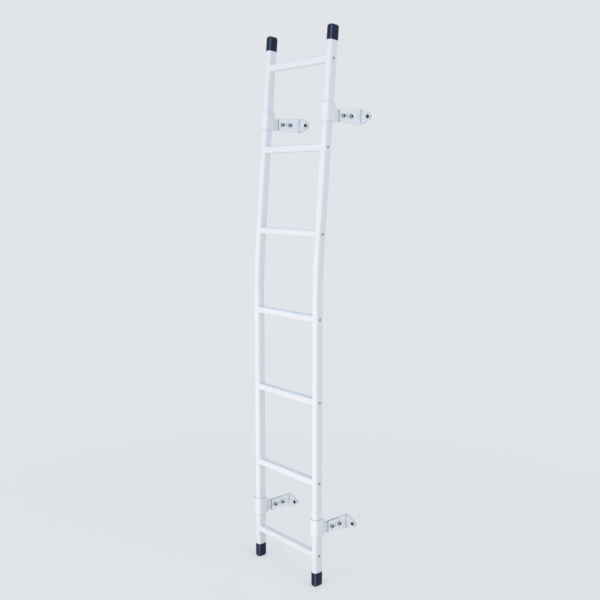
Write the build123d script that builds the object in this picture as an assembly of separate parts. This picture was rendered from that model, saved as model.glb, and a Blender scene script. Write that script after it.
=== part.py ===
"""Van rear door ladder: bent tube rails, coped rungs, push-on caps, strap clamps and folded brackets.

Millimetres. X runs along the rungs to the right as seen from behind, Y towards the door, Z up.
The origin lies on the door face of the lower right bracket tab.
Heights along a rail are measured on its centre line, from the lower brackets upwards.
"""

import os
from math import cos, degrees, radians, sin

from build123d import *

# Rails: rounded rectangular tube, straight below, one slow bend, straight above.
RAIL_SPACING = 338.0
RAIL_WIDTH = 25.4
RAIL_DEPTH = 38.1
RAIL_CORNER = 10.0
RAIL_WALL = 2.0
RAIL_BOTTOM = -209.0
RAIL_TOP = 1814.0
LEAN_DEG = 4.6
BEND_RADIUS = 2000.0
BEND_MIDDLE = 954.0

# Rungs: softly rounded rectangular tube; the step up to the second rung is the short one.
RUNG_DEPTH = 31.8
RUNG_HEIGHT = 25.4
RUNG_CORNER = 8.0
RUNG_WALL = 2.0
RUNG_FIRST = -98.0
RUNG_SECOND = 181.0
RUNG_PITCH = 304.8
RUNG_COUNT = 7

# End caps
CAP_WALL = 1.8
CAP_GRIP = 46.0
CAP_END = 8.0
CAP_ROUND = 12.0

# Rail clamps: one strap bent round the rail and pinched into two ears behind its lower part.
CLAMP_HEIGHT = 64.0
STRAP = 4.0
EAR_GAP = 1.0
EAR_HEIGHT = 42.0
EAR_END = 118.0
EAR_CLIP = 5.0
SHOULDER_Y = 20.0
PINCH_Y = 30.0
SHOULDER_ROUND = 9.0
PINCH_ROUND = 10.0

# Door brackets: folded plate, flared towards the bend, with a rounded tab on the door.
PLATE = 4.0
PLATE_START = 50.0
PLATE_HEIGHT = 44.0
FLARE_START = 95.0
FLARE_HEIGHT = 54.0
FOLD_ROUND = 4.0
TAB_CORNER = 9.0
TAB_NOSE = 14.0
TAB_HOLE_X = 45.0
PLATE_CLIP = 3.0
BOLT_Y = (67.5, 105.0)
BOLT_SQUARE = 8.8
DOOR_HOLE = 9.0
MARK_SLOT = (3.5, 11.0)

# Layout: the clamps sit at these heights on their rails, the left ones lower than the right ones.
LOWER_STANDOFF = 145.0
UPPER_STANDOFF = 157.0
ORIGIN_FROM_RAIL = 24.0
SIDES = {"left": -ORIGIN_FROM_RAIL - RAIL_SPACING, "right": -ORIGIN_FROM_RAIL}
CLAMP_AT = {"lower": {"left": -15.0, "right": 0.0}, "upper": {"left": 1497.0, "right": 1512.0}}

BEND_START = BEND_MIDDLE - BEND_RADIUS * radians(LEAN_DEG) / 2
BEND_END = BEND_MIDDLE + BEND_RADIUS * radians(LEAN_DEG) / 2


def station(height: float) -> tuple[float, float, float]:
    """Y and Z of a rail's centre line at a height along it, and its lean there in degrees."""
    turned = min(max(height - BEND_START, 0.0), BEND_END - BEND_START) / BEND_RADIUS
    before = min(height, BEND_START)
    after = max(height - BEND_END, 0.0)
    y = BEND_RADIUS * (1 - cos(turned)) + after * sin(turned)
    z = before + BEND_RADIUS * sin(turned) + after * cos(turned)
    return y - LOWER_STANDOFF, z, degrees(turned)


def seat(x: float, height: float) -> Location:
    """Frame on a rail: its Z along the rail, its Y square to the rail towards the door."""
    y, z, lean = station(height)
    return Pos(x, y, z) * Rot(X=-lean)


def rail_path(x: float) -> Wire:
    """Centre line of a rail, from its lower end to its upper end."""
    heights = (RAIL_BOTTOM, BEND_START, BEND_MIDDLE, BEND_END, RAIL_TOP)
    points = [seat(x, height).position for height in heights]
    lower = Edge.make_line(points[0], points[1])
    bend = Edge.make_three_point_arc(points[1], points[2], points[3])
    upper = Edge.make_line(points[3], points[4])
    return Wire([lower, bend, upper])


def rail_section(inset: float = 0.0) -> Sketch:
    """Rounded rectangle of the rail tube, brought in by an inset (let out if negative)."""
    return RectangleRounded(RAIL_WIDTH - 2 * inset, RAIL_DEPTH - 2 * inset, RAIL_CORNER - inset)


def rail_bar(x: float) -> Part:
    """A rail as a solid bar, for coping the rungs."""
    return sweep(seat(x, RAIL_BOTTOM) * rail_section(), path=rail_path(x))


def rail(x: float) -> Part:
    """A rail as a hollow bent tube."""
    tube = rail_section() - rail_section(RAIL_WALL)
    return sweep(seat(x, RAIL_BOTTOM) * tube, path=rail_path(x))


def rung(height: float, bars: list[Part]) -> Part:
    """A rounded tube between the rails, its ends coped to their rounded sides."""
    bore = (RUNG_DEPTH - 2 * RUNG_WALL, RUNG_HEIGHT - 2 * RUNG_WALL, RUNG_CORNER - RUNG_WALL)
    tube = RectangleRounded(RUNG_DEPTH, RUNG_HEIGHT, RUNG_CORNER) - RectangleRounded(*bore)
    blank = extrude(Plane.YZ * tube, amount=RAIL_SPACING / 2 - RAIL_WIDTH / 4, both=True)
    blank = seat(sum(SIDES.values()) / 2, height) * blank
    for bar in bars:
        blank -= bar
    return max(blank.solids(), key=lambda piece: piece.volume)


def end_cap() -> Part:
    """A push-on cap, its closed end up and rounded as seen from the front and from the side.

    The end of the tube is at its Z zero.
    """
    mouth = Pos(Z=-CAP_GRIP)
    shell = extrude(mouth * rail_section(-CAP_WALL), amount=CAP_GRIP + CAP_END)
    for view, width in ((Plane.XZ, RAIL_WIDTH), (Plane.YZ, RAIL_DEPTH)):
        side = width / 2 + CAP_WALL
        corners = [(-side, -CAP_GRIP), (-side, CAP_END), (side, CAP_END), (side, -CAP_GRIP)]
        arch = FilletPolyline(*corners, radius=[0, CAP_ROUND, CAP_ROUND, 0], close=True)
        shell &= extrude(view * make_face(arch), amount=RAIL_DEPTH, both=True)
    return shell - extrude(mouth * rail_section(), amount=CAP_GRIP)


def bent_strip(points: list[tuple[float, float]], rounds: list[float], thickness: float) -> Sketch:
    """Edge-on view of a bent strip whose middle line has the given points and bend radii."""
    middle = FilletPolyline(*points, radius=rounds)
    half = thickness / 2
    return make_face(offset(middle, amount=half, side=Side.BOTH, kind=Kind.ARC).edges())


def mirrored(upper: list[tuple[float, float]]) -> list[tuple[float, float]]:
    """Points of an outline, given its upper half from the rail to the door."""
    return upper + [(y, -z) for y, z in reversed(upper)]


def raised(points: list[tuple[float, float]], angle: float) -> list[tuple[float, float]]:
    """Points of a side outline turned about the rail's middle, up towards the door by an angle in degrees."""
    turned = [Vector(y, z).rotate(Axis.Z, angle) for y, z in points]
    return [(point.X, point.Y) for point in turned]


def punches() -> Part:
    """Two square punches along X, one at each clamp bolt, so that a coach bolt can't turn in its hole."""
    square = Rectangle(BOLT_SQUARE, BOLT_SQUARE)
    return extrude(Plane.YZ * (Sketch() + [Pos(y, 0) * square for y in BOLT_Y]), amount=RAIL_WIDTH, both=True)


def rail_clamp(lean: float) -> Part:
    """Strap round a rail, bent as seen from above, cut to its side outline of tall band and narrow ears.

    The ears rise by the rail's lean, so that they lie level, and carry on the lower edge of the band.
    """
    side = (RAIL_WIDTH + STRAP) / 2
    front = -(RAIL_DEPTH + STRAP) / 2
    ear = (EAR_GAP + STRAP) / 2
    half_path = [(ear, EAR_END + STRAP), (ear, PINCH_Y), (side, SHOULDER_Y), (side, front)]
    path = half_path + [(-x, y) for x, y in reversed(half_path)]
    corner = RAIL_CORNER + STRAP / 2
    rounds = [PINCH_ROUND, SHOULDER_ROUND, corner]
    strip = bent_strip(path, rounds + rounds[::-1], STRAP)
    band = extrude(strip, amount=CLAMP_HEIGHT, both=True)

    edge = EAR_HEIGHT / 2
    top = CLAMP_HEIGHT - edge
    ears = [(PINCH_Y + 2, edge), (EAR_END - EAR_CLIP, edge), (EAR_END, edge - EAR_CLIP)]
    wrap = [(SHOULDER_Y + 3, -edge), (front - STRAP, -edge), (front - STRAP, top), (SHOULDER_Y + 3, top)]
    outline = make_face(Polyline(*raised(mirrored(ears), lean), *wrap, close=True))
    blank = band & extrude(Plane.YZ * outline, amount=RAIL_WIDTH, both=True)
    return blank - Rot(X=lean) * punches()


def door_bracket(standoff: float) -> Part:
    """Folded plate: its edge-on profile with the true fold, cut to the plate and tab outlines.

    Its bolt holes are square like those of the ears, so that the bolts go in from either side.
    """
    inner = EAR_GAP / 2 + STRAP
    middle = inner + PLATE / 2
    door = standoff - PLATE / 2
    reach = TAB_HOLE_X + TAB_NOSE + 1
    fold = [(middle, PLATE_START), (middle, door), (reach, door)]
    strip = bent_strip(fold, [FOLD_ROUND + PLATE / 2], PLATE)
    folded = extrude(strip, amount=FLARE_HEIGHT, both=True)

    near = PLATE_HEIGHT / 2
    wide = FLARE_HEIGHT / 2
    flare_end = standoff - PLATE - FOLD_ROUND
    upper = [(PLATE_START, near - PLATE_CLIP), (PLATE_START + PLATE_CLIP, near),
             (FLARE_START, near), (flare_end, wide), (standoff + 1, wide)]
    bends = [0, 0, 30, 18, 0]
    side_edge = FilletPolyline(*mirrored(upper), radius=bends + bends[::-1], close=True)
    side_outline = extrude(Plane.YZ * make_face(side_edge), amount=2 * reach, both=True)

    root = inner + PLATE + FOLD_ROUND
    rounds = [Pos(root, z) * Circle(TAB_CORNER) for z in (wide - TAB_CORNER, TAB_CORNER - wide)]
    rounds.append(Pos(TAB_HOLE_X, 0) * Circle(TAB_NOSE))
    tab = make_hull([edge for circle in rounds for edge in circle.edges()])
    tab += Pos(root - reach / 2, 0) * Rectangle(reach, FLARE_HEIGHT)
    tab -= Pos(TAB_HOLE_X, 0) * Circle(DOOR_HOLE / 2)
    tab_outline = extrude(Plane.XZ * tab, amount=-2 * standoff)

    mark = Pos(sum(BOLT_Y) / 2, 0) * Rectangle(*MARK_SLOT)
    window = extrude(Plane.YZ * mark, amount=RAIL_WIDTH, both=True)
    return (folded & side_outline & tab_outline) - punches() - window


def save(node: str, shape: Part | Solid) -> None:
    """Write one solid to its own STEP file."""
    solids = shape.solids()
    assert len(solids) == 1, f"{node}: {len(solids)} solids"
    export_step(solids[0], f"parts/{node}.step")


def main() -> None:
    """Build every piece in place."""
    os.makedirs("parts", exist_ok=True)

    for side, x in SIDES.items():
        save(f"{side}_rail", rail(x))
        save(f"top_{side}_end_cap", seat(x, RAIL_TOP) * end_cap())
        save(f"bottom_{side}_end_cap", seat(x, RAIL_BOTTOM) * Rot(X=180) * end_cap())

    bars = [rail_bar(x) for x in SIDES.values()]
    heights = [RUNG_FIRST] + [RUNG_SECOND + RUNG_PITCH * step for step in range(RUNG_COUNT - 1)]
    for number, height in enumerate(heights, start=1):
        save(f"rung_{number}", rung(height, bars))

    for level, clamps in CLAMP_AT.items():
        door = 0.0 if level == "lower" else station(clamps["right"])[0] + UPPER_STANDOFF
        for side, height in clamps.items():
            y, z, lean = station(height)
            save(f"{level}_{side}_rail_clamp", seat(SIDES[side], height) * rail_clamp(lean))
            save(f"{level}_{side}_door_bracket", Pos(SIDES[side], y, z) * door_bracket(door - y))


if __name__ == "__main__":
    main()
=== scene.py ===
"""Van rear door ladder: finishes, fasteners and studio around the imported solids.

Metres. X runs along the rungs to the right as seen from behind, Y towards the door, Z up.
"""

import logging
import math
from abc import ABC, abstractmethod
from collections.abc import Callable, Iterable
from dataclasses import dataclass
from enum import Enum, IntEnum
from functools import cached_property
from typing import Any

import bmesh
import bpy
from mathutils import Matrix, Vector


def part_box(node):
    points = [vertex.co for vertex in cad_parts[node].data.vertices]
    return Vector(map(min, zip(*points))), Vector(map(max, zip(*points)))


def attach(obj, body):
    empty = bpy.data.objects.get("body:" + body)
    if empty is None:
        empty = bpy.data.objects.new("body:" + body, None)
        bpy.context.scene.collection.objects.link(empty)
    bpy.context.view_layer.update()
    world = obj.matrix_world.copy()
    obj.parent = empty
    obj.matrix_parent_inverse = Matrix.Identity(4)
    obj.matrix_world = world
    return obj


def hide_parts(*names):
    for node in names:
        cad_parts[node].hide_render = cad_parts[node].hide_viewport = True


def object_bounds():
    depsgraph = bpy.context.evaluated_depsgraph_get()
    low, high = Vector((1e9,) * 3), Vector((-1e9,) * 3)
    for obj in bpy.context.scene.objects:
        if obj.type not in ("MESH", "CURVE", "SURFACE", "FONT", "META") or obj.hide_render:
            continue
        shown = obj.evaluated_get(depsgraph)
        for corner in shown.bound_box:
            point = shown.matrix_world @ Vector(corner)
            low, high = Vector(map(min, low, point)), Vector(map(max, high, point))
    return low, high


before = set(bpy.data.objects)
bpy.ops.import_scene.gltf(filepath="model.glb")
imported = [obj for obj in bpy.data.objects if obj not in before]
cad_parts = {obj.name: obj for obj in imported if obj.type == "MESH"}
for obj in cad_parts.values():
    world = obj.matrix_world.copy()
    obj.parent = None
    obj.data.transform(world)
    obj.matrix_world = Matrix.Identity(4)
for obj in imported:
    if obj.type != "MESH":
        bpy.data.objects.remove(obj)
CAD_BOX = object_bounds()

LOG = logging.getLogger("door_ladder")
MM = 0.001
BODY = "root"

# Mesh limits: faces within FLAT of each other count as one, and edges beyond SHARP stay sharp.
# Points closer than a weld are one point, and those within ON_PLANE of a cut lie on it. ROUND is
# the profile of a bevel that is part of a circle.
FLAT = math.radians(0.5)
SHARP = math.radians(35.0)
NODE_WELD = 0.001 * MM
TURN_WELD = 0.0005 * MM
ON_PLANE = 1e-7
ROUND = 0.5

# Socket numbers of the Mix node in its colour mode.
MIX_A, MIX_B, MIX_COLOUR = 6, 7, 2


# ---------------------------------------------------------------- layout


class Labelled(Enum):
    """Members whose names are part of the node names."""

    @property
    def label(self) -> str:
        """The member as the node names spell it."""
        return self.name.lower()


class Side(Labelled):
    """The two rails, each with the X of its centre line."""

    LEFT = -0.362
    RIGHT = -0.024


class End(Labelled):
    """The two ends of a rail, each with its height along the rail."""

    BOTTOM = -0.209
    TOP = 1.814


class Level(Labelled):
    """The two pairs of brackets: heights of the left and of the right clamp along their rails."""

    LOWER = (-0.015, 0.0)
    UPPER = (1.497, 1.512)

    def height(self, side: Side) -> float:
        """Height of a side's clamp along its rail."""
        return self.value[0] if side is Side.LEFT else self.value[1]


@dataclass(frozen=True)
class RailLine:
    """Centre line that both rails follow: straight, one slow bend, straight."""

    lean: float = math.radians(4.6)
    bend_radius: float = 2.0
    bend_middle: float = 0.954
    offset: float = 0.145

    def seat(self, x: float, height: float) -> Matrix:
        """Frame on a rail, with its Z along the rail and its Y square to it, towards the door.

        Args:
            x: X of the rail's centre line.
            height: height along the rail, from the lower brackets up.

        Returns:
            The matrix from that frame to the model's.
        """
        radius, half = self.bend_radius, self.bend_radius * self.lean / 2
        start, end = self.bend_middle - half, self.bend_middle + half
        turned = min(max(height - start, 0.0), end - start) / radius
        after = max(height - end, 0.0)
        y = radius * (1 - math.cos(turned)) + after * math.sin(turned) - self.offset
        z = min(height, start) + radius * math.sin(turned) + after * math.cos(turned)
        return Matrix.Translation((x, y, z)) @ Matrix.Rotation(-turned, 4, "X")


RAIL_LINE = RailLine()


# ---------------------------------------------------------------- finishes


def linear(code: str) -> tuple[float, float, float, float]:
    """Turns an sRGB hex code into linear colour.

    Args:
        code: six hex digits.

    Returns:
        Red, green and blue in linear light, and an alpha of one.
    """
    parts = [int(code[place:place + 2], 16) / 255 for place in (0, 2, 4)]
    red, green, blue = [p / 12.92 if p <= 0.04045 else ((p + 0.055) / 1.055) ** 2.4 for p in parts]
    return red, green, blue, 1.0


def per_metre(size_mm: float) -> float:
    """Texture scale that gives a pattern of that size in millimetres."""
    return 1.0 / (size_mm * MM)


def add_node(tree: bpy.types.NodeTree, kind: str, feeds: dict[str | int, Any] | None = None,
             **settings: Any) -> bpy.types.Node:
    """Adds a shader node with its settings, values and links.

    Args:
        tree: the node tree that gets it.
        kind: the node's type, without the word ShaderNode.
        feeds: for each input, by name or number, a value or the socket that feeds it.
        settings: the node's own properties.

    Returns:
        The new node.
    """
    node = tree.nodes.new(f"ShaderNode{kind}")
    for key, value in settings.items():
        setattr(node, key, value)
    for key, value in (feeds or {}).items():
        if isinstance(value, bpy.types.NodeSocket):
            tree.links.new(value, node.inputs[key])
        else:
            node.inputs[key].default_value = value
    return node


def shown_to_rays(tree: bpy.types.NodeTree) -> bpy.types.NodeSocket:
    """Tells the rays that show a thing from the rays that are lit by it.

    Args:
        tree: the node tree that asks.

    Returns:
        A socket that is one for camera, glossy and transmission rays, and zero for all others.
    """
    rays = add_node(tree, "LightPath")
    shown = rays.outputs["Is Camera Ray"]
    for kind in ("Is Glossy Ray", "Is Transmission Ray"):
        either = add_node(tree, "Math", {0: shown, 1: rays.outputs[kind]}, operation="MAXIMUM")
        shown = either.outputs["Value"]
    return shown


@dataclass(frozen=True)
class Finish(ABC):
    """A real material with its surface process."""

    name: str

    def material(self) -> bpy.types.Material:
        """The Blender material of this finish, made on first use."""
        known = bpy.data.materials.get(self.name)
        if known:
            return known
        made = bpy.data.materials.new(self.name)
        made.use_nodes = True
        tree = made.node_tree
        tree.nodes.clear()
        surface = self.surface(tree, add_node(tree, "TexCoord").outputs["Object"])
        add_node(tree, "OutputMaterial", {"Surface": surface})
        return made

    @abstractmethod
    def surface(self, tree: bpy.types.NodeTree,
                place: bpy.types.NodeSocket) -> bpy.types.NodeSocket:
        """Builds the shader.

        Args:
            tree: the material's node tree.
            place: object coordinates in metres.

        Returns:
            The shader's output socket.
        """


@dataclass(frozen=True)
class PowderCoat(Finish):
    """White polyester powder, sprayed and stoved: a satin white skin with a soft ripple."""

    white: str = "F2F3F4"
    shade: str = "EAEDF0"
    scuff: str = "CDD1D6"
    patch_mm: float = 160.0
    peel_mm: float = 2.6
    haze_mm: float = 24.0
    scuff_mm: tuple[float, float] = (5.0, 28.0)
    peel_depth: float = 0.04 * MM
    roughness: tuple[float, float] = (0.34, 0.44)
    wear: float = 0.0

    def surface(self, tree: bpy.types.NodeTree,
                place: bpy.types.NodeSocket) -> bpy.types.NodeSocket:
        """Builds the shader.

        Args:
            tree: the material's node tree.
            place: object coordinates in metres.

        Returns:
            The shader's output socket.
        """
        patch = add_node(tree, "TexNoise", {
            "Vector": place, "Scale": per_metre(self.patch_mm), "Detail": 2.0})
        haze = add_node(tree, "TexNoise", {
            "Vector": place, "Scale": per_metre(self.haze_mm), "Detail": 3.0})
        # The ripple of sprayed powder is 1 to 3 mm long.
        peel = add_node(tree, "TexNoise", {
            "Vector": place, "Scale": per_metre(self.peel_mm), "Detail": 1.0})
        colour = add_node(tree, "Mix", {
            "Factor": patch.outputs["Fac"], MIX_A: linear(self.white), MIX_B: linear(self.shade),
        }, data_type="RGBA").outputs[MIX_COLOUR]
        if self.wear:
            colour = self.worn(tree, place, colour)
        rough = add_node(tree, "MapRange", {
            "Value": haze.outputs["Fac"], "From Min": 0.3, "From Max": 0.7,
            "To Min": self.roughness[0], "To Max": self.roughness[1]})
        ripple = add_node(tree, "Bump", {
            "Height": peel.outputs["Fac"], "Strength": 0.5, "Distance": self.peel_depth})
        shader = add_node(tree, "BsdfPrincipled", {
            "Base Color": colour, "Roughness": rough.outputs["Result"], "IOR": 1.5,
            "Normal": ripple.outputs["Normal"]})
        return shader.outputs["BSDF"]

    def worn(self, tree: bpy.types.NodeTree, place: bpy.types.NodeSocket,
             colour: bpy.types.NodeSocket) -> bpy.types.NodeSocket:
        """Greys the faces that look up, where shoes tread, in short streaks.

        Args:
            tree: the material's node tree.
            place: object coordinates in metres.
            colour: the clean colour.

        Returns:
            The worn colour.
        """
        across, along = self.scuff_mm
        streaks = add_node(tree, "Mapping", {
            "Vector": place, "Scale": (per_metre(across), per_metre(along), 1.0)})
        rub = add_node(tree, "TexNoise", {
            "Vector": streaks.outputs["Vector"], "Scale": 1.0, "Detail": 4.0})
        normal = add_node(tree, "NewGeometry").outputs["Normal"]
        faces = add_node(tree, "SeparateXYZ", {"Vector": normal})
        tread = add_node(tree, "MapRange", {
            "Value": faces.outputs["Z"], "From Min": 0.8, "From Max": 1.0,
            "To Min": 0.0, "To Max": self.wear})
        marks = add_node(tree, "MapRange", {
            "Value": rub.outputs["Fac"], "From Min": 0.45, "From Max": 0.75,
            "To Min": 0.0, "To Max": tread.outputs["Result"]})
        worn = add_node(tree, "Mix", {
            "Factor": marks.outputs["Result"], MIX_A: colour, MIX_B: linear(self.scuff),
        }, data_type="RGBA")
        return worn.outputs[MIX_COLOUR]


@dataclass(frozen=True)
class ZincPlate(Finish):
    """Electroplated zinc on cold-rolled steel: cool light metal, cloudy, with rolling lines."""

    bright: str = "F8FAFC"
    dull: str = "ECF0F5"
    tint: str = "EFF0ED"
    cloud_mm: float = 16.0
    tint_mm: float = 42.0
    line_mm: tuple[float, float] = (1.6, 60.0)
    line_depth: float = 0.03 * MM
    roughness: tuple[float, float] = (0.42, 0.58)
    metal: float = 1.0

    def surface(self, tree: bpy.types.NodeTree,
                place: bpy.types.NodeSocket) -> bpy.types.NodeSocket:
        """Builds the shader.

        Args:
            tree: the material's node tree.
            place: object coordinates in metres.

        Returns:
            The shader's output socket.
        """
        cloud = add_node(tree, "TexNoise", {
            "Vector": place, "Scale": per_metre(self.cloud_mm), "Detail": 5.0})
        film = add_node(tree, "TexNoise", {
            "Vector": place, "Scale": per_metre(self.tint_mm), "Detail": 2.0})
        metal = add_node(tree, "Mix", {
            "Factor": cloud.outputs["Fac"], MIX_A: linear(self.bright), MIX_B: linear(self.dull),
        }, data_type="RGBA")
        # The passivated film leaves a faint straw tint in patches.
        share = add_node(tree, "MapRange", {
            "Value": film.outputs["Fac"], "From Min": 0.45, "From Max": 0.7,
            "To Min": 0.0, "To Max": 0.4})
        colour = add_node(tree, "Mix", {
            "Factor": share.outputs["Result"], MIX_A: metal.outputs[MIX_COLOUR],
            MIX_B: linear(self.tint)}, data_type="RGBA")
        rough = add_node(tree, "MapRange", {
            "Value": cloud.outputs["Fac"], "From Min": 0.3, "From Max": 0.7,
            "To Min": self.roughness[0], "To Max": self.roughness[1]})
        # Rolling lines are about 0.3 mm apart; drawn coarser so that they show.
        apart, length = (per_metre(size) for size in self.line_mm)
        along = add_node(tree, "Mapping", {"Vector": place, "Scale": (apart, length, apart)})
        lines = add_node(tree, "TexNoise", {
            "Vector": along.outputs["Vector"], "Scale": 1.0, "Detail": 2.0})
        grain = add_node(tree, "Bump", {
            "Height": lines.outputs["Fac"], "Strength": 0.35, "Distance": self.line_depth})
        shader = add_node(tree, "BsdfPrincipled", {
            "Base Color": colour.outputs[MIX_COLOUR], "Metallic": self.metal,
            "Roughness": rough.outputs["Result"], "Normal": grain.outputs["Normal"]})
        return shader.outputs["BSDF"]


@dataclass(frozen=True)
class DarkPolymer(Finish):
    """Dark polymer from a dip or a mould: slightly wavy where it set, with a little dust, and,
    when a highlight colour is given, a painted highlight down each upright corner.
    """

    black: str
    dust: str
    painted_highlight: str | None = None
    sag_mm: float = 11.0
    dust_mm: float = 1.8
    sag_depth: float = 0.25 * MM
    sheen: float = 0.22
    roughness: tuple[float, float] = (0.14, 0.26)

    def surface(self, tree: bpy.types.NodeTree,
                place: bpy.types.NodeSocket) -> bpy.types.NodeSocket:
        """Builds the shader.

        Args:
            tree: the material's node tree.
            place: object coordinates in metres.

        Returns:
            The shader's output socket.
        """
        sag = add_node(tree, "TexNoise", {
            "Vector": place, "Scale": per_metre(self.sag_mm), "Detail": 1.0})
        specks = add_node(tree, "TexNoise", {
            "Vector": place, "Scale": per_metre(self.dust_mm), "Detail": 4.0})
        share = add_node(tree, "MapRange", {
            "Value": specks.outputs["Fac"], "From Min": 0.5, "From Max": 0.8,
            "To Min": 0.0, "To Max": 0.7})
        colour = add_node(tree, "Mix", {
            "Factor": share.outputs["Result"], MIX_A: linear(self.black), MIX_B: linear(self.dust),
        }, data_type="RGBA").outputs[MIX_COLOUR]
        if self.painted_highlight:
            colour = self.paint_corner_highlight(tree, colour)
        rough = add_node(tree, "MapRange", {
            "Value": specks.outputs["Fac"], "From Min": 0.35, "From Max": 0.75,
            "To Min": self.roughness[0], "To Max": self.roughness[1]})
        wave = add_node(tree, "Bump", {
            "Height": sag.outputs["Fac"], "Strength": 0.4, "Distance": self.sag_depth})
        shader = add_node(tree, "BsdfPrincipled", {
            "Base Color": colour, "Roughness": rough.outputs["Result"],
            "Specular IOR Level": self.sheen, "Normal": wave.outputs["Normal"]})
        return shader.outputs["BSDF"]

    def paint_corner_highlight(self, tree: bpy.types.NodeTree,
              colour: bpy.types.NodeSocket) -> bpy.types.NodeSocket:
        """Paints a paler streak down each upright corner: a painted highlight for the gloss on
        corners.

        Args:
            tree: the material's node tree.
            colour: the colour of the flats.

        Returns:
            The colour with a paler streak down each corner.
        """
        normal = add_node(tree, "NewGeometry").outputs["Normal"]
        faces = add_node(tree, "SeparateXYZ", {"Vector": normal})
        slant = add_node(tree, "Math", {0: faces.outputs["X"], 1: faces.outputs["Y"]},
                         operation="MULTIPLY")
        slant = add_node(tree, "Math", {0: slant.outputs["Value"]}, operation="ABSOLUTE")
        # The product is one half at the middle of a corner, and nothing on a flat.
        share = add_node(tree, "MapRange", {
            "Value": slant.outputs["Value"], "From Min": 0.38, "From Max": 0.49})
        painted_streak = add_node(tree, "Mix", {
            "Factor": share.outputs["Result"], MIX_A: colour, MIX_B: linear(self.painted_highlight),
        }, data_type="RGBA")
        return painted_streak.outputs[MIX_COLOUR]


@dataclass(frozen=True)
class CoatedSteel(Finish):
    """Steel under a thin conversion or plated coat: one tone, rubbed paler in specks."""

    coat: str
    rubbed: str
    rub_mm: float = 3.0
    roughness: tuple[float, float] = (0.3, 0.48)

    def surface(self, tree: bpy.types.NodeTree,
                place: bpy.types.NodeSocket) -> bpy.types.NodeSocket:
        """Builds the shader.

        Args:
            tree: the material's node tree.
            place: object coordinates in metres.

        Returns:
            The shader's output socket.
        """
        rub = add_node(tree, "TexNoise", {
            "Vector": place, "Scale": per_metre(self.rub_mm), "Detail": 4.0})
        share = add_node(tree, "MapRange", {
            "Value": rub.outputs["Fac"], "From Min": 0.5, "From Max": 0.75,
            "To Min": 0.0, "To Max": 0.6})
        colour = add_node(tree, "Mix", {
            "Factor": share.outputs["Result"], MIX_A: linear(self.coat),
            MIX_B: linear(self.rubbed)}, data_type="RGBA")
        rough = add_node(tree, "MapRange", {
            "Value": rub.outputs["Fac"], "From Min": 0.3, "From Max": 0.7,
            "To Min": self.roughness[0], "To Max": self.roughness[1]})
        shader = add_node(tree, "BsdfPrincipled", {
            "Base Color": colour.outputs[MIX_COLOUR], "Metallic": 1.0,
            "Roughness": rough.outputs["Result"]})
        return shader.outputs["BSDF"]


@dataclass(frozen=True)
class StudioPaper(Finish):
    """Matt paper sweep: pale to the eye, fading out towards its rim; it keeps the shadows."""

    paper: str = "E2E1DF"
    lift: str = "FAFBFC"
    lift_share: float = 0.5
    fibre_mm: float = 6.0
    fade_from: float = 1.0
    fade_to: float = 2.6

    def surface(self, tree: bpy.types.NodeTree,
                place: bpy.types.NodeSocket) -> bpy.types.NodeSocket:
        """Builds the shader.

        Args:
            tree: the material's node tree.
            place: object coordinates in metres.

        Returns:
            The shader's output socket.
        """
        fibres = add_node(tree, "TexNoise", {
            "Vector": place, "Scale": per_metre(self.fibre_mm), "Detail": 4.0})
        matt = add_node(tree, "BsdfDiffuse", {
            "Color": linear(self.paper), "Roughness": fibres.outputs["Fac"]})
        glow = add_node(tree, "Emission", {"Color": linear(self.lift), "Strength": 1.0})
        lifted = add_node(tree, "Math", {0: shown_to_rays(tree), 1: self.lift_share},
                          operation="MULTIPLY")
        sheet = add_node(tree, "MixShader", {
            0: lifted.outputs["Value"], 1: matt.outputs["BSDF"], 2: glow.outputs["Emission"]})
        radius = add_node(tree, "VectorMath", {0: place}, operation="LENGTH")
        fade = add_node(tree, "MapRange", {
            "Value": radius.outputs["Value"], "From Min": self.fade_from,
            "From Max": self.fade_to}, interpolation_type="SMOOTHSTEP")
        clear = add_node(tree, "BsdfTransparent")
        faded = add_node(tree, "MixShader", {
            0: fade.outputs["Result"], 1: sheet.outputs["Shader"], 2: clear.outputs["BSDF"]})
        return faded.outputs["Shader"]


# Powder coat: satin white on the tubes, scuffed grey on the treads of the rungs, and smoother on
# the bent straps. The straps' sheared upper and lower edges are thin coat in a darker blue-grey:
# painted shade, standing in for the gap along the rail.
RAIL_COAT = PowderCoat("powder_coat_on_aluminium_rail")
RUNG_COAT = PowderCoat("powder_coat_on_aluminium_rung", wear=0.35)
STRAP_COAT = PowderCoat("powder_coat_on_steel_strap", white="F3F4F5", shade="EDEFF1",
                        roughness=(0.3, 0.4))
STRAP_EDGE_PAINTED_SHADE = PowderCoat("thin_powder_coat_on_sheared_edge", white="CDD7E3", shade="C0CCDA")
# Zinc: the thick, milky passivation of the sheet scatters light like paint, so it is only half
# metal to the eye. Its sheared edges, its end at the rail and the tab's nose are darker: painted
# shade lines along them. The fold is rough where it has crazed, and darker: painted shade in the
# crease. The washers, which are barrel-plated, are brighter metal.
BRACKET_ZINC = ZincPlate("zinc_plated_steel_sheet", roughness=(0.5, 0.64), metal=0.5)
BRACKET_EDGE_PAINTED_SHADE = ZincPlate("zinc_plate_on_sheared_edge", bright="BFC9D4", dull="ADB7C3",
                         tint="BDC1C3", cloud_mm=4.0, metal=0.5)
BRACKET_FOLD_PAINTED_SHADE = ZincPlate("zinc_plate_dulled_at_fold", bright="DAE0E7", dull="C8D0D9",
                         tint="D4D7D7", cloud_mm=6.0, roughness=(0.8, 0.9), metal=0.25)
FASTENER_ZINC = ZincPlate("zinc_plated_steel_fastener", bright="E6EAEE", dull="D3D9DF",
                          cloud_mm=5.0, roughness=(0.24, 0.36))
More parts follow.
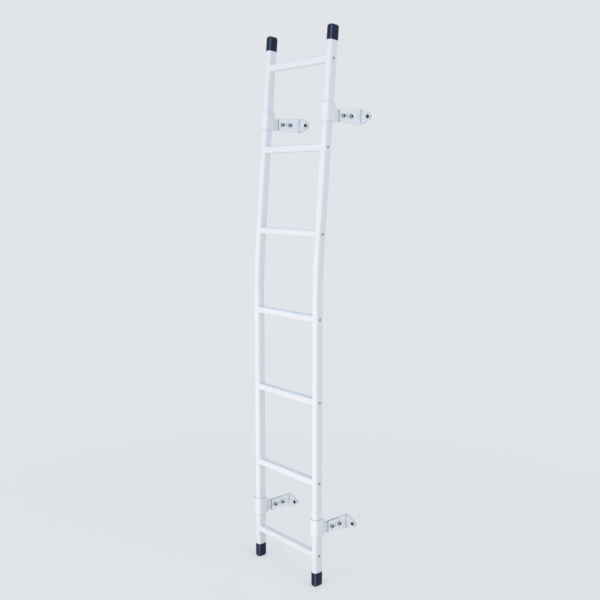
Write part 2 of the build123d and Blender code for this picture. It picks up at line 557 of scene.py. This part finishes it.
# Polymers: dipped vinyl is a glossy blue-black with a painted highlight down each upright
# corner, and moulded nylon is a plain, duller black.
CAP_VINYL = DarkPolymer("dip_moulded_black_vinyl", black="111A38", dust="252E54",
                        painted_highlight="4E5A7C")
# The nylon is near black, which also paints the shade in the nut's well.
NUT_NYLON_AND_WELL_SHADE = DarkPolymer("moulded_black_nylon", black="14161B", dust="24272E",
                        roughness=(0.4, 0.5))
# Coated steel: oxide from hot salts is near black, black zinc is a dark grey with more glint,
# and weathered zinc is a flat mid grey. The near-black oxide also lines the screw sockets: painted
# shade in the recess.
BLACK_STEEL_AND_SOCKET_SHADE = CoatedSteel("black_oxide_steel", coat="2A2D36", rubbed="4A4E58")
DARK_ZINC = CoatedSteel("black_zinc_plated_steel", coat="4A4F59", rubbed="70767F")
GREY_ZINC = CoatedSteel("dulled_zinc_plated_steel", coat="A9B0B9", rubbed="C6CCD3")


# ---------------------------------------------------------------- mesh tools


class Skin(IntEnum):
    """Parts of a piece that can have a finish of their own, in the order of its materials."""

    # Skins after the main one take darker finishes: painted shade on cut edges, in sockets and
    # along folds.
    MAIN = 0
    CUT = 1
    FOLD = 2


class Lathe:
    """Draws a profile in the half plane of X and +Z, and turns it about X."""

    def __init__(self, along: float, radius: float) -> None:
        """Starts the profile at a point."""
        self.bm = bmesh.new()
        self.first = self.tip = self.bm.verts.new((along, 0.0, radius))

    def line(self, along: float, radius: float) -> "Lathe":
        """Draws a straight line to a point.

        Args:
            along: X of the point.
            radius: Z of the point.

        Returns:
            The lathe.
        """
        made = self.bm.verts.new((along, 0.0, radius))
        self.bm.edges.new((self.tip, made))
        self.tip = made
        return self

    def arc(self, along: float, radius: float, turn: float, steps: int) -> "Lathe":
        """Draws an arc on from the last point.

        Args:
            along: X of the arc's centre.
            radius: Z of the arc's centre.
            turn: angle in degrees, positive from +Z towards +X.
            steps: number of straight steps.

        Returns:
            The lathe.
        """
        spun = bmesh.ops.spin(self.bm, geom=[self.tip], cent=(along, 0.0, radius),
                              axis=(0.0, 1.0, 0.0), angle=math.radians(turn), steps=steps)
        self.tip = next(v for v in spun["geom_last"] if isinstance(v, bmesh.types.BMVert))
        return self

    def ridges(self, pitch: float, depth: float, count: int) -> "Lathe":
        """Draws thread ridges along +X.

        Args:
            pitch: length of one ridge.
            depth: depth of the groove between two ridges.
            count: number of ridges.

        Returns:
            The lathe.
        """
        for _ in range(count):
            x, _, z = self.tip.co
            self.line(x + pitch / 2, z - depth).line(x + pitch, z)
        return self

    def turn(self, steps: int, ring: bool = False) -> bmesh.types.BMesh:
        """Turns the profile about X.

        Args:
            steps: number of steps in the full turn.
            ring: whether the profile is closed first, for a piece with a bore.

        Returns:
            The turned shape.
        """
        if ring:
            self.bm.edges.new((self.tip, self.first))
        bmesh.ops.spin(self.bm, geom=self.bm.verts[:] + self.bm.edges[:], cent=(0.0, 0.0, 0.0),
                       axis=(1.0, 0.0, 0.0), angle=2 * math.pi, steps=steps, use_merge=True)
        bmesh.ops.remove_doubles(self.bm, verts=self.bm.verts[:], dist=TURN_WELD)
        bmesh.ops.recalc_face_normals(self.bm, faces=self.bm.faces[:])
        return self.bm


def mill_flats(bm: bmesh.types.BMesh, across: float, count: int = 6) -> None:
    """Cuts equal flats round the X axis.

    Args:
        bm: the turned shape.
        across: distance across opposite flats.
        count: number of flats.
    """
    for number in range(count):
        out = Matrix.Rotation(2 * math.pi * number / count, 3, "X") @ Vector((0.0, 0.0, 1.0))
        cut = bmesh.ops.bisect_plane(bm, geom=bm.verts[:] + bm.edges[:] + bm.faces[:],
                                     dist=ON_PLANE, plane_co=out * across / 2, plane_no=out,
                                     clear_outer=True)
        rim = [e for e in cut["geom_cut"] if isinstance(e, bmesh.types.BMEdge)]
        bmesh.ops.holes_fill(bm, edges=rim, sides=0)
    bmesh.ops.recalc_face_normals(bm, faces=bm.faces[:])


def broach_hex(bm: bmesh.types.BMesh, along: float, across: float, depth: float) -> None:
    """Sinks a hexagon socket into a turned head that is open at its face; the socket's walls and
    floor take the second finish, which paints shade into the recess.

    Args:
        bm: the head, its face at the low X end.
        along: X of the head's open face.
        across: distance across the socket's flats.
        depth: depth of the socket.
    """
    mouth = [e for e in bm.edges if e.is_boundary]
    head = set(bm.faces)
    turned = Matrix.Translation((along, 0.0, 0.0)) @ Matrix.Rotation(math.pi / 2, 4, "Y")
    corner = bmesh.ops.create_circle(bm, segments=6, radius=across / math.sqrt(3.0), matrix=turned)
    hexagon = list({e for v in corner["verts"] for e in v.link_edges})
    bmesh.ops.triangle_fill(bm, use_beauty=True, use_dissolve=False, edges=mouth + hexagon)
    head.update(bm.faces)
    walls = bmesh.ops.extrude_edge_only(bm, edges=hexagon)["geom"]
    floor = [v for v in walls if isinstance(v, bmesh.types.BMVert)]
    bmesh.ops.translate(bm, verts=floor, vec=(depth, 0.0, 0.0))
    bmesh.ops.contextual_create(bm, geom=[e for e in walls if isinstance(e, bmesh.types.BMEdge)
                                          and all(v in floor for v in e.verts)])
    # The socket's walls and floor take the second finish: painted shade in the recess.
    for face in set(bm.faces) - head:
        face.material_index = Skin.CUT
    bmesh.ops.recalc_face_normals(bm, faces=bm.faces[:])


def bevel(bm: bmesh.types.BMesh, geom: list[Any], width: float, segments: int,
          affect: str = "EDGES", clamp: bool = False) -> None:
    """Rounds edges or corners of a shape.

    Args:
        bm: the shape.
        geom: the edges, or the vertices of the corners.
        width: distance from the old edge to where the round starts.
        segments: number of steps in the round.
        affect: EDGES or VERTICES.
        clamp: whether a round stops where it would run into the next.
    """
    bmesh.ops.bevel(bm, geom=geom, offset=width, offset_type="OFFSET", segments=segments,
                    profile=ROUND, affect=affect, clamp_overlap=clamp, material=-1)


def soften(mesh: bpy.types.Mesh) -> None:
    """Shades a mesh smooth, but for its sharp edges."""
    mesh.polygons.foreach_set("use_smooth", [True] * len(mesh.polygons))
    mesh.set_sharp_from_angle(angle=SHARP)


def new_piece(name: str, bm: bmesh.types.BMesh, slot: str | None,
              *finishes: Finish) -> bpy.types.Object:
    """Makes an object of a shape, dresses it and lets it ride.

    Args:
        name: the piece's name.
        bm: its shape, in place; it is freed.
        slot: the record's material slot, if one fits; not used.
        finishes: what it is made of, one finish for each kind of skin it has.

    Returns:
        The new object.
    """
    mesh = bpy.data.meshes.new(name)
    bm.to_mesh(mesh)
    bm.free()
    soften(mesh)
    for finish in finishes:
        mesh.materials.append(finish.material())
    piece = bpy.data.objects.new(name, mesh)
    bpy.context.scene.collection.objects.link(piece)
    # Flat faces keep flat shading beside their broken edges.
    piece.modifiers.new("weighted_normals", "WEIGHTED_NORMAL").keep_sharp = True
    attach(piece, BODY)
    LOG.info("piece %s: %d faces, %s", name, len(mesh.polygons),
             ", ".join(finish.name for finish in finishes))
    return piece


def placed(shape: bmesh.types.BMesh, places: Iterable[Matrix]) -> bmesh.types.BMesh:
    """Gathers copies of a shape at several places.

    Args:
        shape: the shape; it is freed.
        places: one matrix for each copy.

    Returns:
        The copies in one mesh.
    """
    gathered = bmesh.new()
    for place in places:
        copy = bpy.data.meshes.new("copy")
        shape.to_mesh(copy)
        copy.transform(place)
        gathered.from_mesh(copy)
        bpy.data.meshes.remove(copy)
    shape.free()
    return gathered


def eased_node(node: str, slot: str, width: float, skin: Callable[[bmesh.types.BMFace], Skin],
               *finishes: Finish) -> bpy.types.Object:
    """Stands in for a node with the same form and its sharp edges broken.

    Args:
        node: the node's name.
        slot: the record's material slot.
        width: width of the broken edge.
        skin: tells which skin a face has.
        finishes: what the piece is made of, one finish for each kind of skin.

    Returns:
        The new object.
    """
    bm = bmesh.new()
    bm.from_mesh(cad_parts[node].data)
    bmesh.ops.remove_doubles(bm, verts=bm.verts[:], dist=NODE_WELD)
    bmesh.ops.dissolve_limit(bm, angle_limit=FLAT, verts=bm.verts[:], edges=bm.edges[:])
    sharp = [e for e in bm.edges if e.is_manifold and e.calc_face_angle() > SHARP]
    bevel(bm, sharp, width, segments=2, clamp=True)
    for face in bm.faces:
        face.material_index = skin(face)
    piece = new_piece(f"{node}_eased", bm, slot, *finishes)
    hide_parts(node)
    return piece


def dress_node(node: str, finish: Finish) -> None:
    """Puts a finish on every material slot of a node.

    Args:
        node: the node's name.
        finish: what it is made of.
    """
    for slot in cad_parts[node].material_slots:
        slot.material = finish.material()
    LOG.info("node %s: %s", node, finish.name)


# ---------------------------------------------------------------- fasteners


@dataclass(frozen=True)
class CoachBolt:
    """M8 coach bolt along X, the underside of its domed head at zero and its end towards +X."""

    shank: float = 8.0 * MM
    head: float = 20.0 * MM
    crown: float = 4.6 * MM
    rim: float = 0.8 * MM
    neck: float = 8.4 * MM
    neck_length: float = 4.0 * MM
    length: float = 19.2 * MM
    pitch: float = 1.25 * MM
    threads: int = 8
    lead_pitches: float = 0.7
    thread_depth: float = 0.55 * MM
    point: float = 0.9 * MM
    dome_steps: int = 9
    steps: int = 32

    def shape(self) -> bmesh.types.BMesh:
        """The whole bolt: dome, square neck, shank and thread."""
        half, dome, shank = self.head / 2, self.crown - self.rim, self.shank / 2
        ball = (half ** 2 + dome ** 2) / (2 * dome)
        spread = math.degrees(math.asin(half / ball))
        start = self.length - self.pitch * (self.threads + self.lead_pitches)
        lathe = Lathe(-self.crown, 0.0).arc(ball - self.crown, 0.0, spread, self.dome_steps)
        lathe.line(0.0, half).line(0.0, shank).line(start, shank)
        lathe.ridges(self.pitch, self.thread_depth, self.threads)
        lathe.line(self.length, shank - self.point).line(self.length, 0.0)
        bm = lathe.turn(self.steps)
        box = Matrix.Translation((self.neck_length / 2, 0.0, 0.0)) @ Matrix.Diagonal(
            (self.neck_length, self.neck, self.neck, 1.0))
        bmesh.ops.create_cube(bm, size=1.0, matrix=box)
        return bm


@dataclass(frozen=True)
class Washer:
    """Flat washer along X, its seat at zero."""

    outer: float = 17.0 * MM
    bore: float = 8.4 * MM
    thick: float = 1.6 * MM
    edge: float = 0.25 * MM
    steps: int = 40

    def shape(self) -> bmesh.types.BMesh:
        """A turned ring with its outer edges broken."""
        inner, outer = self.bore / 2, self.outer / 2
        lathe = Lathe(0.0, inner).line(0.0, outer - self.edge).line(self.edge, outer)
        lathe.line(self.thick - self.edge, outer).line(self.thick, outer - self.edge)
        return lathe.line(self.thick, inner).turn(self.steps, ring=True)


@dataclass(frozen=True)
class LockNut:
    """Thin M8 lock nut along X, its seat at zero, with a nylon ring in its collar."""

    across: float = 13.0 * MM
    body: float = 4.6 * MM
    height: float = 6.2 * MM
    collar: float = 11.8 * MM
    ring: float = 9.6 * MM
    bore: float = 7.7 * MM
    chamfer: float = 0.7 * MM
    seat_share: float = 0.98
    ring_sunk: float = 0.4 * MM
    ring_edge: float = 0.3 * MM
    collar_steps: int = 5
    ring_steps: int = 40
    steps: int = 48

    def insert(self) -> bmesh.types.BMesh:
        """The nylon ring, a little below the collar's rim."""
        inner, outer, top = self.bore / 2, self.ring / 2, self.height - self.ring_sunk
        lathe = Lathe(self.body, inner).line(self.body, outer).line(top, outer)
        lathe.line(top, inner + self.ring_edge).line(top - self.ring_edge, inner)
        return lathe.turn(self.ring_steps, ring=True)

    def shape(self) -> bmesh.types.BMesh:
        """A turned blank with chamfered corners and a collar, and six flats cut on it."""
        corner = self.across / math.sqrt(3.0)
        drop = corner - self.across / 2 * self.seat_share
        round_off = self.height - self.body
        lathe = Lathe(0.0, self.bore / 2).line(0.0, corner - drop).line(self.chamfer, corner)
        lathe.line(self.body - self.chamfer, corner).line(self.body, corner - drop)
        lathe.line(self.body, self.collar / 2)
        lathe.arc(self.body, self.collar / 2 - round_off, 90.0, self.collar_steps)
        lathe.line(self.height, self.ring / 2).line(self.body, self.ring / 2)
        bm = lathe.line(self.body, self.bore / 2).turn(self.steps, ring=True)
        mill_flats(bm, self.across)
        return bm


@dataclass(frozen=True)
class ButtonScrew:
    """Button-head socket screw along X, its head's underside at zero and its end towards +X.

    The dome lists shares of the head's rise and of its width outside the socket's mouth.
    """

    shank: float
    head: float
    crown: float
    socket: float
    length: float
    pitch: float
    rim: float = 0.35 * MM
    lead: float = 0.8 * MM
    run_out: float = 1.0 * MM
    thread_depth: float = 0.4 * MM
    point: float = 0.6 * MM
    mouth_share: float = 0.72
    socket_share: float = 0.7
    dome: tuple[tuple[float, float], ...] = ((0.0, 0.25), (0.16, 0.6), (0.5, 0.87))
    steps: int = 30

    def shape(self) -> bmesh.types.BMesh:
        """A turned head with a hexagon socket, and a threaded shank."""
        half, mouth, shank = self.head / 2, self.socket * self.mouth_share, self.shank / 2
        rise = self.crown - self.rim
        threads = int((self.length - self.run_out) / self.pitch)
        lathe = Lathe(-self.crown, mouth)
        for down, out in self.dome:
            lathe.line(-self.crown + down * rise, mouth + out * (half - mouth))
        lathe.line(-self.rim, half).line(0.0, half).line(0.0, shank)
        lathe.line(self.length - threads * self.pitch - self.lead, shank)
        lathe.ridges(self.pitch, self.thread_depth, threads)
        lathe.line(self.length, shank - self.point).line(self.length, 0.0)
        bm = lathe.turn(self.steps)
        broach_hex(bm, -self.crown, self.socket, self.crown * self.socket_share)
        return bm


# ---------------------------------------------------------------- sub-assemblies


@dataclass
class LadderFrame:
    """The frame of two rails and seven rungs, with the screws that hold the rungs."""

    first_rung: float = -0.098
    second_rung: float = 0.181
    rung_pitch: float = 0.3048
    even_rungs: int = 6
    rail_width: float = 25.4 * MM
    screw: ButtonScrew = ButtonScrew(shank=5.0 * MM, head=9.5 * MM, crown=2.75 * MM,
                                     socket=3.0 * MM, length=10.0 * MM, pitch=0.8 * MM)

    @property
    def rung_heights(self) -> list[float]:
        """Heights of the rungs along the rails, from the lowest up."""
        even = [self.second_rung + self.rung_pitch * n for n in range(self.even_rungs)]
        return [self.first_rung] + even

    def dress(self) -> None:
        """Gives rails and rungs their coats."""
        for side in Side:
            dress_node(f"{side.label}_rail", RAIL_COAT)
        for number, _ in enumerate(self.rung_heights, start=1):
            dress_node(f"rung_{number}", RUNG_COAT)

    def build(self) -> None:
        """Adds the rung screws on the outer side of each rail."""
        for side in Side:
            outwards = 1.0 if side is Side.RIGHT else -1.0
            face = Matrix.Translation((outwards * self.rail_width / 2, 0, 0))
            aim = Matrix.Rotation(math.pi if outwards > 0 else 0.0, 4, "Z")
            places = [RAIL_LINE.seat(side.value, height) @ face @ aim
                      for height in self.rung_heights]
            # The second finish, near black, lines the screws' sockets: painted shade.
            new_piece(f"{side.label}_rung_screws", placed(self.screw.shape(), places), None,
                      GREY_ZINC, BLACK_STEEL_AND_SOCKET_SHADE)


@dataclass
class EndCaps:
    """The four push-on caps, each with a soft round end."""

    width: float = 29.0 * MM
    depth: float = 41.7 * MM
    corner: float = 11.8 * MM
    wall: float = 1.8 * MM
    grip: float = 46.0 * MM
    height: float = 54.0 * MM
    crown: float = 10.0 * MM
    lip: float = 0.7 * MM
    lip_angle: float = 1.0

    def shape(self) -> bmesh.types.BMesh:
        """A cap with its mouth at zero and its closed end up."""
        bm = bmesh.new()
        plan = Matrix.Diagonal((self.width, self.depth, 1.0, 1.0))
        bmesh.ops.create_grid(bm, x_segments=1, y_segments=1, size=0.5, matrix=plan)
        bevel(bm, bm.verts[:], self.corner, segments=12, affect="VERTICES")
        raised = bmesh.ops.extrude_face_region(bm, geom=bm.faces[:])["geom"]
        end = next(f for f in raised if isinstance(f, bmesh.types.BMFace))
        bmesh.ops.translate(bm, verts=end.verts[:], vec=(0.0, 0.0, self.height))
        bevel(bm, end.edges[:], self.crown, segments=8)
        mouth = min(bm.faces, key=lambda face: face.calc_center_median().z)
        bmesh.ops.inset_region(bm, faces=[mouth], thickness=self.wall)
        sunk = bmesh.ops.extrude_face_region(bm, geom=[mouth])["geom"]
        bmesh.ops.delete(bm, geom=[mouth], context="FACES_ONLY")
        bmesh.ops.translate(bm, verts=[v for v in sunk if isinstance(v, bmesh.types.BMVert)],
                            vec=(0.0, 0.0, self.grip))
        lips = [e for e in bm.edges if max(v.co.z for v in e.verts) < self.lip
                and e.calc_face_angle(0.0) > self.lip_angle]
        bevel(bm, lips, self.lip, segments=3)
        bmesh.ops.recalc_face_normals(bm, faces=bm.faces[:])
        return bm

    def build(self) -> None:
        """Stands a rounded cap in for each plain one."""
        seated = Matrix.Translation((0.0, 0.0, -self.grip))
        for end in End:
            facing = Matrix.Rotation(math.pi if end is End.BOTTOM else 0.0, 4, "X")
            for side in Side:
                node = f"{end.label}_{side.label}_end_cap"
                place = RAIL_LINE.seat(side.value, end.value) @ facing @ seated
                piece = new_piece(f"{node}_rounded", placed(self.shape(), [place]),
                                  "black_vinyl", CAP_VINYL)
                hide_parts(node)


@dataclass
class DoorMount:
    """One rail clamp with its door bracket and their fasteners."""

    level: Level
    side: Side
    bolt_y: tuple[float, float] = (67.5 * MM, 105.0 * MM)
    far_ear: float = -4.5 * MM
    plate_face: float = 8.5 * MM
    plate: float = 4.0 * MM
    tab_hole: float = 45.0 * MM
    broken_edge: float = 0.45 * MM
    end_reach: float = 1.0 * MM
    nose_from: float = 52.0 * MM
    edge_slope: float = 0.15
    fold_slope: float = 0.3
    flat_slope: float = 0.95
    nut_turn: float = 11.0
    nut_turn_per_metre: float = 900.0
    bolt: CoachBolt = CoachBolt()
    washer: Washer = Washer(outer=21.0 * MM)
    nut: LockNut = LockNut()
    door_washer: Washer = Washer()
    screw: ButtonScrew = ButtonScrew(shank=8.0 * MM, head=13.0 * MM, crown=4.2 * MM,
                                     socket=5.0 * MM, length=15.0 * MM, pitch=1.25 * MM)

    @property
    def label(self) -> str:
        """Level and side, as the node names spell them."""
        return f"{self.level.label}_{self.side.label}"

    @cached_property
    def plate_end(self) -> float:
        """Y just past the plate's end at the rail."""
        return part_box(f"{self.label}_door_bracket")[0].y + self.end_reach

    @property
    def seat(self) -> Matrix:
        """The bracket's level frame on its rail's centre line."""
        on_rail = RAIL_LINE.seat(self.side.value, self.level.height(self.side))
        return Matrix.Translation(on_rail.translation)

    def dress(self) -> None:
        """Stands eased pieces in for the strap and the plate."""
        # The darker finishes on the strap's and the plate's edges and on the plate's fold are
        # painted shade.
        eased_node(f"{self.label}_rail_clamp", "painted_strap", self.broken_edge,
                   self.strap_skin, STRAP_COAT, STRAP_EDGE_PAINTED_SHADE)
        eased_node(f"{self.label}_door_bracket", "zinc_plate", self.broken_edge,
                   self.plate_skin, BRACKET_ZINC, BRACKET_EDGE_PAINTED_SHADE, BRACKET_FOLD_PAINTED_SHADE)

    def strap_skin(self, face: bmesh.types.BMFace) -> Skin:
        """The strap's skin at a face: its sheared upper and lower edges take the painted shade."""
        return Skin.CUT if abs(face.normal.z) > self.edge_slope else Skin.MAIN

    def plate_skin(self, face: bmesh.types.BMFace) -> Skin:
        """The plate's skin at a face.

        Args:
            face: a face of the eased plate.

        Returns:
            The cut skin on the plate's upper and lower edges, on its end at the rail and round the
            tab's nose, the fold's skin where the plate turns, both of them painted shade, and the
            main skin elsewhere.
        """
        middle, normal = face.calc_center_median(), face.normal
        at_nose = (middle.x > self.side.value + self.nose_from
                   and abs(normal.y) < self.flat_slope)
        if abs(normal.z) > self.edge_slope or middle.y < self.plate_end or at_nose:
            return Skin.CUT
        turning = min(abs(normal.x), abs(normal.y)) > self.fold_slope
        return Skin.FOLD if turning else Skin.MAIN

    def on_bolts(self, along: float) -> list[Matrix]:
        """Frames on the two clamp bolts, at an X from the rail's centre line."""
        return [self.seat @ Matrix.Translation((along, y, 0.0)) for y in self.bolt_y]

    def build(self) -> None:
        """Adds the clamp bolts with washers and nuts, and the door screw with its washer."""
        new_piece(f"{self.label}_clamp_bolts",
                  placed(self.bolt.shape(), self.on_bolts(self.far_ear)), None, BLACK_STEEL_AND_SOCKET_SHADE)
        new_piece(f"{self.label}_clamp_washers",
                  placed(self.washer.shape(), self.on_bolts(self.plate_face)), "zinc_plate",
                  FASTENER_ZINC)
        turns = [self.nut_turn + self.nut_turn_per_metre * y for y in self.bolt_y]
        seats = self.on_bolts(self.plate_face + self.washer.thick)
        nuts = [seat @ Matrix.Rotation(math.radians(turn), 4, "X")
                for seat, turn in zip(seats, turns)]
        new_piece(f"{self.label}_clamp_nuts", placed(self.nut.shape(), nuts), None, GREY_ZINC)
        # The near-black nylon rings also paint the shade in the nuts' wells.
        new_piece(f"{self.label}_nut_rings", placed(self.nut.insert(), nuts), None, NUT_NYLON_AND_WELL_SHADE)
        tab_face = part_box(f"{self.label}_door_bracket")[1].y - self.plate
        hole = Matrix.Translation((self.side.value + self.tab_hole, tab_face,
                                   self.seat.translation.z))
        inwards = hole @ Matrix.Rotation(math.pi / 2, 4, "Z")
        head = inwards @ Matrix.Translation((-self.door_washer.thick, 0.0, 0.0))
        new_piece(f"{self.label}_door_washer", placed(self.door_washer.shape(), [head]),
                  "zinc_plate", FASTENER_ZINC)
        # The second finish, near black, lines the screw's socket: painted shade.
        new_piece(f"{self.label}_door_screw", placed(self.screw.shape(), [head]), None,
                  DARK_ZINC, BLACK_STEEL_AND_SOCKET_SHADE)


# ---------------------------------------------------------------- studio


@dataclass(frozen=True)
class Lamp:
    """A square soft lamp, which gloss may be made not to mirror."""

    name: str
    place: tuple[float, float, float]
    aim: tuple[float, float, float]
    size: float
    power: float
    colour: str
    in_gloss: bool = True

    def build(self) -> None:
        """Hangs the lamp and aims it."""
        data = bpy.data.lights.new(self.name, "AREA")
        data.size, data.energy, data.color = self.size, self.power, linear(self.colour)[:3]
        lamp = bpy.data.objects.new(self.name, data)
        lamp.location = self.place
        lamp.visible_glossy = self.in_gloss
        towards = Vector(self.aim) - Vector(self.place)
        lamp.rotation_euler = towards.to_track_quat("-Z", "Y").to_euler()
        bpy.context.scene.collection.objects.link(lamp)


# Where the lamps aim: the middle of the ladder, and lower down for the lamp that lights its front.
MIDDLE = (-0.19, -0.1, 0.8)
LOW_FRONT = (-0.19, -0.1, 0.25)


@dataclass
class Studio:
    """Camera, light and floor."""

    eye: tuple[float, float, float] = (2.1750, -2.1101, 1.2716)
    pitch_down: float = 7.925
    azimuth: float = 49.429
    lens: float = 50.084
    sensor: float = 36.0
    floor_radius: float = 2.7
    floor_sides: int = 96
    floor_gap: float = 0.3 * MM
    floor_centre: tuple[float, float] = (-0.19, -0.05)
    sky_light: str = "D6DFEA"
    sky_strength: float = 0.78
    background: str = "E1E4E8"
    # The lamps in front and behind are kept out of gloss, so that no fold or cap mirrors them.
    lamps: tuple[Lamp, ...] = (
        Lamp("key_lamp", place=(0.21, -4.0, 0.15), aim=LOW_FRONT, size=1.35, power=78.0,
             colour="FFF1E6", in_gloss=False),
        Lamp("side_lamp", place=(4.6, 0.5, 0.9), aim=MIDDLE, size=3.0, power=40.0,
             colour="FFF6F0"),
        Lamp("top_lamp", place=(-0.19, -0.4, 4.2), aim=MIDDLE, size=3.5, power=34.0,
             colour="98C2F2"),
        Lamp("back_lamp", place=(-2.4, 4.6, 0.9), aim=MIDDLE, size=2.5, power=60.0,
             colour="FFF4EC", in_gloss=False),
    )

    def build(self) -> None:
        """Sets up the whole studio."""
        self.camera()
        self.world()
        self.floor()
        for lamp in self.lamps:
            lamp.build()
        bpy.context.scene.view_settings.view_transform = "Standard"

    def camera(self) -> None:
        """Puts the camera where the photograph was taken from."""
        data = bpy.data.cameras.new("camera")
        data.lens, data.sensor_width = self.lens, self.sensor
        camera = bpy.data.objects.new("camera", data)
        camera.location = self.eye
        camera.rotation_euler = (math.radians(90.0 - self.pitch_down), 0.0,
                                 math.radians(self.azimuth))
        bpy.context.scene.collection.objects.link(camera)
        bpy.context.scene.camera = camera

    def world(self) -> None:
        """Lights from a cool, even sky, and shows a pale background to the eye and to gloss."""
        world = bpy.data.worlds.new("studio")
        world.use_nodes = True
        bpy.context.scene.world = world
        tree = world.node_tree
        tree.nodes.clear()
        sky = add_node(tree, "Background", {
            "Color": linear(self.sky_light), "Strength": self.sky_strength})
        pale = add_node(tree, "Background", {"Color": linear(self.background), "Strength": 1.0})
        mixed = add_node(tree, "MixShader", {
            0: shown_to_rays(tree), 1: sky.outputs["Background"], 2: pale.outputs["Background"]})
        add_node(tree, "OutputWorld", {"Surface": mixed.outputs["Shader"]})

    def floor(self) -> None:
        """Lays a round paper floor under the bottom caps."""
        bm = bmesh.new()
        bmesh.ops.create_circle(bm, cap_ends=True, segments=self.floor_sides,
                                radius=self.floor_radius)
        mesh = bpy.data.meshes.new("floor")
        bm.to_mesh(mesh)
        bm.free()
        mesh.materials.append(StudioPaper("matt_paper_floor").material())
        floor = bpy.data.objects.new("floor", mesh)
        floor.location = (*self.floor_centre, CAD_BOX[0].z - self.floor_gap)
        bpy.context.scene.collection.objects.link(floor)


# ---------------------------------------------------------------- the ladder


def main() -> None:
    """Builds and dresses the ladder, then its studio."""
    logging.basicConfig(level=logging.INFO, format="%(name)s: %(message)s")
    ladder = LadderFrame()
    ladder.dress()
    ladder.build()
    EndCaps().build()
    for level in Level:
        for side in Side:
            mount = DoorMount(level, side)
            mount.dress()
            mount.build()
    Studio().build()


if __name__ == "__main__":
    main()
